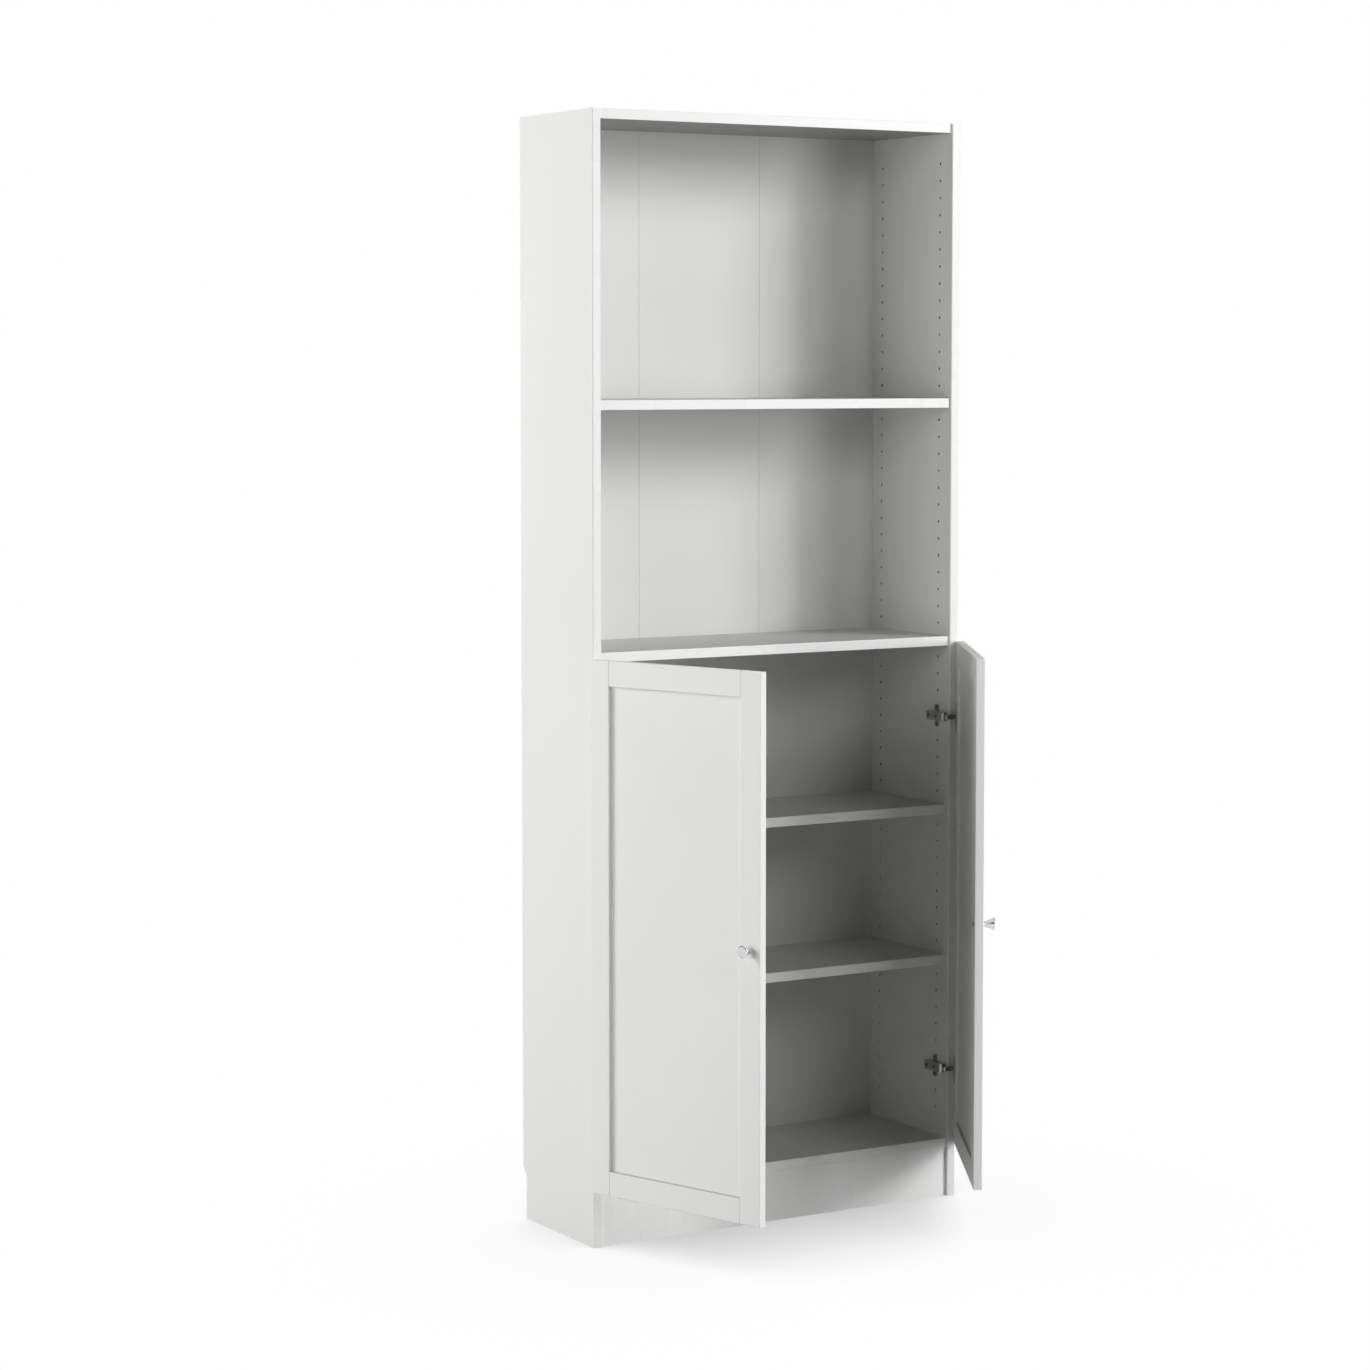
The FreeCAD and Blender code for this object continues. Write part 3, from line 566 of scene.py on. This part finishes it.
def smoothExceptCreases(tree, shape, crease):
    soft = addNode(tree, "GeometryNodeSetShadeSmooth", domain="FACE")
    feed(tree, soft.inputs["Geometry"], shape)
    angle = addNode(tree, "GeometryNodeInputMeshEdgeAngle").outputs["Unsigned Angle"]
    sharp = addNode(tree, "GeometryNodeSetShadeSmooth", domain="EDGE")
    feed(tree, sharp.inputs["Geometry"], soft.outputs[0])
    feed(tree, sharp.inputs["Selection"], mathNode(tree, "GREATER_THAN", angle, crease))
    sharp.inputs["Shade Smooth"].default_value = False
    return sharp.outputs[0]


def placeOnSeats(tree, seats, shape, seed, material):
    # an instance on every vertex, its Z along the stored facing, with a chance turn about it
    facing = addNode(tree, "GeometryNodeInputNamedAttribute", data_type="FLOAT_VECTOR")
    facing.inputs["Name"].default_value = "facing"
    upright = addNode(tree, "FunctionNodeAlignRotationToVector", axis="Z")
    feed(tree, upright.inputs["Vector"], facing.outputs["Attribute"])
    chance = addNode(tree, "FunctionNodeRandomValue", data_type="FLOAT")
    chance.inputs[2].default_value = 0.0
    chance.inputs[3].default_value = math.pi / 2
    feed(tree, chance.inputs["Seed"], seed)
    twist = addNode(tree, "FunctionNodeRotateRotation", rotation_space="LOCAL")
    feed(tree, twist.inputs["Rotation"], upright.outputs[0])
    feed(tree, twist.inputs["Rotate By"], combine(tree, 0.0, 0.0, chance.outputs[1]))
    points = addNode(tree, "GeometryNodeMeshToPoints")
    feed(tree, points.inputs["Mesh"], seats)
    copies = addNode(tree, "GeometryNodeInstanceOnPoints")
    feed(tree, copies.inputs["Points"], points.outputs[0])
    feed(tree, copies.inputs["Instance"], shape)
    feed(tree, copies.inputs["Rotation"], twist.outputs[0])
    whole = addNode(tree, "GeometryNodeRealizeInstances")
    feed(tree, whole.inputs[0], copies.outputs[0])
    painted = addNode(tree, "GeometryNodeSetMaterial")
    feed(tree, painted.inputs["Geometry"], whole.outputs[0])
    feed(tree, painted.inputs["Material"], material)
    return painted.outputs[0]


# how the screws' shapes are divided and tapered; the recess is narrow at its foot and flares at its mouth
screwShape = {"sides": 32, "fill": 5, "shankSides": 24, "domePower": 2.4, "recessFoot": 0.45,
              "recessMouth": 1.2, "crease": 32}


def crossHeadScrews():
    tree, given, result = geometryGroup("crossHeadScrews", {
        "Head Diameter": ("NodeSocketFloat", 0.007), "Head Height": ("NodeSocketFloat", 0.0018),
        "Dome": ("NodeSocketFloat", 0.0006), "Countersink": ("NodeSocketFloat", 0.0001),
        "Shank Diameter": ("NodeSocketFloat", 0.005), "Shank Length": ("NodeSocketFloat", 0.011),
        "Recess Length": ("NodeSocketFloat", 0.0036), "Recess Width": ("NodeSocketFloat", 0.0009),
        "Recess Depth": ("NodeSocketFloat", 0.0013), "Seed": ("NodeSocketInt", 1),
        "Material": ("NodeSocketMaterial", None)})
    radius = mathNode(tree, "MULTIPLY", given["Head Diameter"], 0.5)
    shankRadius = mathNode(tree, "MULTIPLY", given["Shank Diameter"], 0.5)
    x, y, z = separate(tree, addNode(tree, "GeometryNodeInputPosition").outputs[0])

    # the head starts as a drum of four rings: the lowest draws in to the shank, the top one is domed
    drum = addNode(tree, "GeometryNodeMeshCylinder", fill_type="TRIANGLE_FAN")
    for label, value in (("Vertices", screwShape["sides"]), ("Side Segments", 3),
                         ("Fill Segments", screwShape["fill"]), ("Depth", 3.0)):
        drum.inputs[label].default_value = value
    feed(tree, drum.inputs["Radius"], radius)
    ring = mathNode(tree, "ADD", z, 1.5)
    lowest = mathNode(tree, "LESS_THAN", ring, 0.5)
    narrow = mathNode(tree, "DIVIDE", shankRadius, radius)
    width = mapRange(tree, lowest, 0.0, 1.0, 1.0, narrow)
    upper = mathNode(tree, "MULTIPLY", mathNode(tree, "SUBTRACT", ring, 1.0), 0.5)
    level = mathNode(tree, "MULTIPLY", upper, given["Head Height"])
    sunk = mathNode(tree, "MULTIPLY", given["Countersink"], -1.0)
    level = mapRange(tree, lowest, 0.0, 1.0, level, sunk)
    out = mathNode(tree, "DIVIDE", vectorMath(tree, "LENGTH", combine(tree, x, y, 0.0)), radius)
    fall = mathNode(tree, "MULTIPLY", mathNode(tree, "POWER", out, screwShape["domePower"]), given["Dome"])
    drop = mathNode(tree, "MULTIPLY", fall, mathNode(tree, "GREATER_THAN", ring, 2.5))
    head = setPosition(tree, drum.outputs["Mesh"], combine(
        tree, mathNode(tree, "MULTIPLY", x, width), mathNode(tree, "MULTIPLY", y, width),
        mathNode(tree, "SUBTRACT", level, drop)))

    # two crossed wedges sink the recess
    wedge = addNode(tree, "GeometryNodeMeshCube")
    depth = given["Recess Depth"]
    feed(tree, wedge.inputs["Size"], combine(tree, given["Recess Length"], given["Recess Width"],
                                             mathNode(tree, "MULTIPLY", depth, 2.0)))
    share = mapRange(tree, z, mathNode(tree, "MULTIPLY", depth, -1.0), depth,
                     screwShape["recessFoot"], screwShape["recessMouth"])
    tapered = setPosition(tree, wedge.outputs["Mesh"], combine(
        tree, mathNode(tree, "MULTIPLY", x, share), mathNode(tree, "MULTIPLY", y, share), z))
    first = moved(tree, tapered, combine(tree, 0.0, 0.0, given["Head Height"]))
    second = moved(tree, first, None, (0.0, 0.0, math.pi / 2))
    cut = addNode(tree, "GeometryNodeMeshBoolean", operation="DIFFERENCE")
    for socket, shape in ((0, head), (1, first), (1, second)):
        tree.links.new(shape, cut.inputs[socket])

    shank = addNode(tree, "GeometryNodeMeshCylinder")
    shank.inputs["Vertices"].default_value = screwShape["shankSides"]
    feed(tree, shank.inputs["Radius"], shankRadius)
    feed(tree, shank.inputs["Depth"], given["Shank Length"])
    body = moved(tree, shank.outputs["Mesh"],
                 combine(tree, 0.0, 0.0, mathNode(tree, "MULTIPLY", given["Shank Length"], -0.5)))
    joined = addNode(tree, "GeometryNodeJoinGeometry")
    for shape in (cut.outputs["Mesh"], body):
        tree.links.new(shape, joined.inputs[0])
    screw = smoothExceptCreases(tree, joined.outputs[0], math.radians(screwShape["crease"]))
    feed(tree, result[0], placeOnSeats(tree, given["Geometry"], screw, given["Seed"], given["Material"]))
    return tree


def panelPins():
    tree, given, result = geometryGroup("panelPins", {
        "Spacing": ("NodeSocketFloat", 0.12), "Head Diameter": ("NodeSocketFloat", 0.0036),
        "Head Height": ("NodeSocketFloat", 0.0006), "Wander": ("NodeSocketFloat", 0.0012),
        "Seed": ("NodeSocketInt", 7), "Material": ("NodeSocketMaterial", None)})
    path = addNode(tree, "GeometryNodeMeshToCurve")
    feed(tree, path.inputs["Mesh"], given["Geometry"])
    spots = addNode(tree, "GeometryNodeResampleCurve", mode="LENGTH")
    feed(tree, spots.inputs["Curve"], path.outputs[0])
    feed(tree, spots.inputs["Length"], given["Spacing"])
    points = addNode(tree, "GeometryNodeCurveToPoints", mode="EVALUATED")
    feed(tree, points.inputs["Curve"], spots.outputs[0])
    head = addNode(tree, "GeometryNodeMeshUVSphere")
    head.inputs["Segments"].default_value = 12
    head.inputs["Rings"].default_value = 6
    feed(tree, head.inputs["Radius"], mathNode(tree, "MULTIPLY", given["Head Diameter"], 0.5))
    x, y, z = separate(tree, addNode(tree, "GeometryNodeInputPosition").outputs[0])
    squeeze = mathNode(tree, "DIVIDE", mathNode(tree, "MULTIPLY", given["Head Height"], 2.0),
                       given["Head Diameter"])
    flat = setPosition(tree, head.outputs["Mesh"],
                       combine(tree, x, mathNode(tree, "MULTIPLY", y, squeeze), z))
    copies = addNode(tree, "GeometryNodeInstanceOnPoints")
    feed(tree, copies.inputs["Points"], points.outputs[0])
    feed(tree, copies.inputs["Instance"], flat)
    chance = addNode(tree, "FunctionNodeRandomValue", data_type="FLOAT_VECTOR")
    chance.inputs[0].default_value = (-1.0, 0.0, -1.0)
    chance.inputs[1].default_value = (1.0, 0.0, 1.0)
    feed(tree, chance.inputs["Seed"], given["Seed"])
    shifted = addNode(tree, "GeometryNodeTranslateInstances")
    feed(tree, shifted.inputs["Instances"], copies.outputs[0])
    wander = addNode(tree, "ShaderNodeVectorMath", operation="SCALE")
    feed(tree, wander.inputs[0], chance.outputs[0])
    feed(tree, wander.inputs["Scale"], given["Wander"])
    feed(tree, shifted.inputs["Translation"], wander.outputs[0])
    whole = addNode(tree, "GeometryNodeRealizeInstances")
    feed(tree, whole.inputs[0], shifted.outputs[0])
    soft = addNode(tree, "GeometryNodeSetShadeSmooth")
    feed(tree, soft.inputs["Geometry"], whole.outputs[0])
    painted = addNode(tree, "GeometryNodeSetMaterial")
    feed(tree, painted.inputs["Geometry"], soft.outputs[0])
    feed(tree, painted.inputs["Material"], given["Material"])
    feed(tree, result[0], painted.outputs[0])
    return tree


screwTree = crossHeadScrews()
pinTree = panelPins()


def growOn(name, tree, points, edges, facings, sizes):
    # runs a tree on a set of seats and keeps the result as a plain mesh
    mesh = bpy.data.meshes.new(name + "Seats")
    mesh.from_pydata([tuple(point) for point in points], edges, [])
    if facings:
        stored = mesh.attributes.new("facing", "FLOAT_VECTOR", "POINT")
        stored.data.foreach_set("vector", [part for facing in facings for part in facing])
    seats = bpy.data.objects.new(name + "Seats", mesh)
    scene.collection.objects.link(seats)
    modifier = seats.modifiers.new("grow", "NODES")
    modifier.node_group = tree
    sockets = {item.name: item.identifier for item in tree.interface.items_tree if item.in_out == "INPUT"}
    for label, value in sizes.items():
        modifier[sockets[label]] = value
    grown = seats.evaluated_get(bpy.context.evaluated_depsgraph_get())
    plain = bpy.data.meshes.new_from_object(grown)
    plain.name = name
    for attribute in [a.name for a in plain.attributes if a.name == "facing"]:
        plain.attributes.remove(plain.attributes[attribute])
    piece = bpy.data.objects.new(name, plain)
    scene.collection.objects.link(piece)
    seats.modifiers.remove(modifier)
    bpy.data.objects.remove(seats)
    return piece


# a slanting way along which no two screws of a node lie level, so that their order is steady
leftToRight = Vector((1.0, 0.3, 0.1))


def solidsOf(node):
    # the corners of each separate solid in a CAD node, as lists of points
    loose = bmesh.new()
    loose.from_mesh(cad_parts[node].data)
    bmesh.ops.remove_doubles(loose, verts=loose.verts, dist=0.01 * mm)
    left = set(loose.verts)
    solids = []
    for start in loose.verts:
        if start not in left:
            continue
        left.remove(start)
        front = [start]
        solid = []
        while front:
            vertex = front.pop()
            solid.append(vertex.co.copy())
            for edge in vertex.link_edges:
                other = edge.other_vert(vertex)
                if other in left:
                    left.remove(other)
                    front.append(other)
        solids.append(solid)
    loose.free()
    return sorted(solids, key=lambda solid: sum(spread(solid, leftToRight)))


def axisTop(solid, facing):
    # the point on a turned solid's axis that lies furthest along its facing
    aside = facing.cross(Vector((0, 0, 1))).normalized()
    middle = sum((part / 2 for part in spread(solid, aside)), 0.0)
    level = sum((part / 2 for part in spread(solid, Vector((0, 0, 1)))), 0.0)
    return facing * spread(solid, facing)[1] + aside * middle + Vector((0, 0, level))


# screws: the sizes of each kind in metres
screws = {"plateScrews": {"Head Diameter": 0.007, "Head Height": 0.0018, "Dome": 0.0007,
                          "Countersink": 0.00002, "Shank Diameter": 0.0049, "Shank Length": 0.011,
                          "Recess Length": 0.0036, "Recess Width": 0.0009, "Recess Depth": 0.0013, "Seed": 3},
          "adjustingScrews": {"Head Diameter": 0.0064, "Head Height": 0.0014, "Dome": 0.0003,
                              "Countersink": 0.00002, "Shank Diameter": 0.0039, "Shank Length": 0.009,
                              "Recess Length": 0.0034, "Recess Width": 0.0008, "Recess Depth": 0.001,
                              "Seed": 5},
          "cupScrews": {"Head Diameter": 0.0069, "Head Height": 0.0004, "Dome": 0.00012,
                        "Countersink": 0.0015, "Shank Diameter": 0.0034, "Shank Length": 0.0115,
                        "Recess Length": 0.0034, "Recess Width": 0.0008, "Recess Depth": 0.0012, "Seed": 11},
          "knobScrew": {"Head Diameter": 0.008, "Head Height": 0.0024, "Dome": 0.0009,
                        "Countersink": 0.00002, "Shank Diameter": 0.0033, "Shank Length": 0.0245,
                        "Recess Length": 0.004, "Recess Width": 0.001, "Recess Depth": 0.0016, "Seed": 17}}


def makeScrews(kind, name, node, body, facingOf):
    sizes = screws[kind]
    points, facings = [], []
    for solid in solidsOf(node):
        facing = facingOf(solid[0])
        facings.append(facing)
        points.append(axisTop(solid, facing) - facing * sizes["Head Height"])
    piece = growOn(name, screwTree, points, [], facings, dict(sizes, Material=shadedScrewSteel))
    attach(piece, body)
    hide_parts(node)
    print(name, len(points), "screws", len(piece.data.polygons), "faces")


def inward(point):
    return Vector((-1 if point.x > 0 else 1, 0, 0))


makeScrews("plateScrews", "plateScrews", "plate_screws", "carcass", inward)
makeScrews("adjustingScrews", "adjustingScrews", "adjusting_screws", "carcass", inward)
for hand in ("left", "right"):
    rear = doorRear(hand)
    makeScrews("cupScrews", hand + "CupScrews", hand + "_cup_screws", hand + "_door", lambda point: rear)
    makeScrews("knobScrew", hand + "KnobScrew", hand + "_knob_screw", hand + "_door", lambda point: rear)

# panel pins that hold the back: rows down both sides and along the fixed shelves
pins = {"Spacing": 0.118, "Head Diameter": 0.0038, "Head Height": 0.0006, "Wander": 0.0014, "Seed": 23}
pinsFromSide = 0.03


def makePanelPins():
    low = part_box("back_strip_left")[0]
    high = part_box("back_strip_right")[1]
    rear = high.y
    side = (low.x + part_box("left_side")[1].x) / 2
    levels = []
    for node in ("bottom_shelf", "middle_shelf", "top_panel"):
        under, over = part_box(node)
        levels.append((max(under.z, low.z) + min(over.z, high.z)) / 2)
    points = []
    for x in (side, -side):
        points += [(x, rear, levels[0]), (x, rear, levels[-1])]
    for level in levels:
        points += [(side + pinsFromSide, rear, level), (-side - pinsFromSide, rear, level)]
    edges = [(start, start + 1) for start in range(0, len(points), 2)]
    piece = growOn("panelPins", pinTree, points, edges, [], dict(pins, Material=shadedScrewSteel))
    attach(piece, "carcass")
    print("panel pins:", len(piece.data.polygons), "faces")


makePanelPins()


# floor and light
def seenDirectly(tree):
    # 1 for the camera and for what mirrors and glass show, 0 for the light that things throw on each other
    path = addNode(tree, "ShaderNodeLightPath").outputs
    either = mathNode(tree, "MAXIMUM", path["Is Camera Ray"], path["Is Glossy Ray"])
    return mathNode(tree, "MAXIMUM", either, path["Is Transmission Ray"])


# the floor glows white for the camera, with a painted contact shadow from ambient occlusion near the object
stage = {"floorSize": 14.0, "floorColour": (0.30, 0.30, 0.30, 1), "paintedShadowReach": 0.8,
         "paintedShadowFall": 2.5, "paintedShadowDepth": 0.89, "paintedShadowRays": 16}


def makeFloor():
    side = stage["floorSize"] / 2
    corners = [(-side, -side, 0), (side, -side, 0), (side, side, 0), (-side, side, 0)]
    mesh = bpy.data.meshes.new("floor")
    mesh.from_pydata(corners, [], [(0, 1, 2, 3)])
    floor = bpy.data.objects.new("floor", mesh)
    scene.collection.objects.link(floor)
    material = bpy.data.materials.new("paleFloor")
    material.use_nodes = True
    tree = material.node_tree
    tree.nodes.clear()
    matt = addNode(tree, "ShaderNodeBsdfDiffuse")
    matt.inputs["Color"].default_value = stage["floorColour"]
    # painted shadow: ambient occlusion darkens the white glow that the camera sees
    shade = addNode(tree, "ShaderNodeAmbientOcclusion", samples=stage["paintedShadowRays"])
    shade.inputs["Distance"].default_value = stage["paintedShadowReach"]
    hidden = mathNode(tree, "SUBTRACT", 1.0, shade.outputs["AO"])
    hidden = mathNode(tree, "POWER", hidden, stage["paintedShadowFall"])
    white = addNode(tree, "ShaderNodeEmission")
    feed(tree, white.inputs["Strength"],
         mathNode(tree, "SUBTRACT", 1.0, mathNode(tree, "MULTIPLY", hidden, stage["paintedShadowDepth"])))
    blend = addNode(tree, "ShaderNodeMixShader")
    for number, value in enumerate((seenDirectly(tree), matt.outputs[0], white.outputs[0])):
        feed(tree, blend.inputs[number], value)
    tree.links.new(blend.outputs[0], addNode(tree, "ShaderNodeOutputMaterial").inputs[0])
    mesh.materials.append(material)


# mirrors see a dark band round the studio, between two heights in degrees
studio = {"ambient": 0.0, "darkBand": (4, 50), "bandEdge": 0.03, "bandLevel": 0.04}


def makeWorld():
    world = bpy.data.worlds.new("studio")
    scene.world = world
    world.use_nodes = True
    tree = world.node_tree
    tree.nodes.clear()
    background = addNode(tree, "ShaderNodeBackground")
    background.inputs["Color"].default_value = (1, 1, 1, 1)
    height = separate(tree, addNode(tree, "ShaderNodeTexCoord").outputs["Generated"])[2]
    low, high = (math.sin(math.radians(angle)) for angle in studio["darkBand"])
    soft = studio["bandEdge"]
    rise = mapRange(tree, height, low - soft, low + soft)
    fall = mapRange(tree, height, high - soft, high + soft, 1.0, 0.0)
    mirrored = addNode(tree, "ShaderNodeLightPath").outputs["Is Glossy Ray"]
    band = mathNode(tree, "MULTIPLY", mathNode(tree, "MULTIPLY", rise, fall), mirrored)
    seen = mapRange(tree, band, 0.0, 1.0, 1.0, studio["bandLevel"])
    strength = mapRange(tree, seenDirectly(tree), 0.0, 1.0, studio["ambient"], seen)
    feed(tree, background.inputs["Strength"], strength)
    tree.links.new(background.outputs[0], addNode(tree, "ShaderNodeOutputWorld").inputs[0])


# lamps: turn is counted from straight in front, to the right, and rise from level with the aim
lampAim = Vector((0.0, 0.0, 1.0))
lampSize = 2.8
lamps = {"leftRear": {"turn": -122, "rise": 17, "away": 5.7, "power": 241.0, "mirrored": False},
         "leftWall": {"turn": -78, "rise": 5, "away": 8.0, "power": 171.0, "mirrored": False},
         "upperFront": {"turn": 0, "rise": 25, "away": 8.0, "power": 100.0, "mirrored": False},
         "front": {"turn": 30, "rise": 4, "away": 8.0, "power": 138.0, "mirrored": True},
         "rightKey": {"turn": 45, "rise": 23, "away": 8.0, "power": 344.0, "mirrored": True},
         "overhead": {"turn": 150, "rise": 72, "away": 8.0, "power": 280.0, "mirrored": False}}


def makeLamps():
    for name, lamp in lamps.items():
        turn, rise = math.radians(lamp["turn"]), math.radians(lamp["rise"])
        way = Vector((math.sin(turn) * math.cos(rise), -math.cos(turn) * math.cos(rise), math.sin(rise)))
        data = bpy.data.lights.new(name, "AREA")
        data.shape = "SQUARE"
        data.size = lampSize
        data.energy = lamp["power"]
        holder = bpy.data.objects.new(name, data)
        scene.collection.objects.link(holder)
        holder.location = lampAim + way * lamp["away"]
        holder.rotation_euler = way.to_track_quat("Z", "Y").to_euler()
        holder.visible_camera = False
        holder.visible_glossy = lamp["mirrored"]


makeFloor()
makeWorld()
makeLamps()
print("floor, world and lamps in place")

bpy.context.view_layer.update()
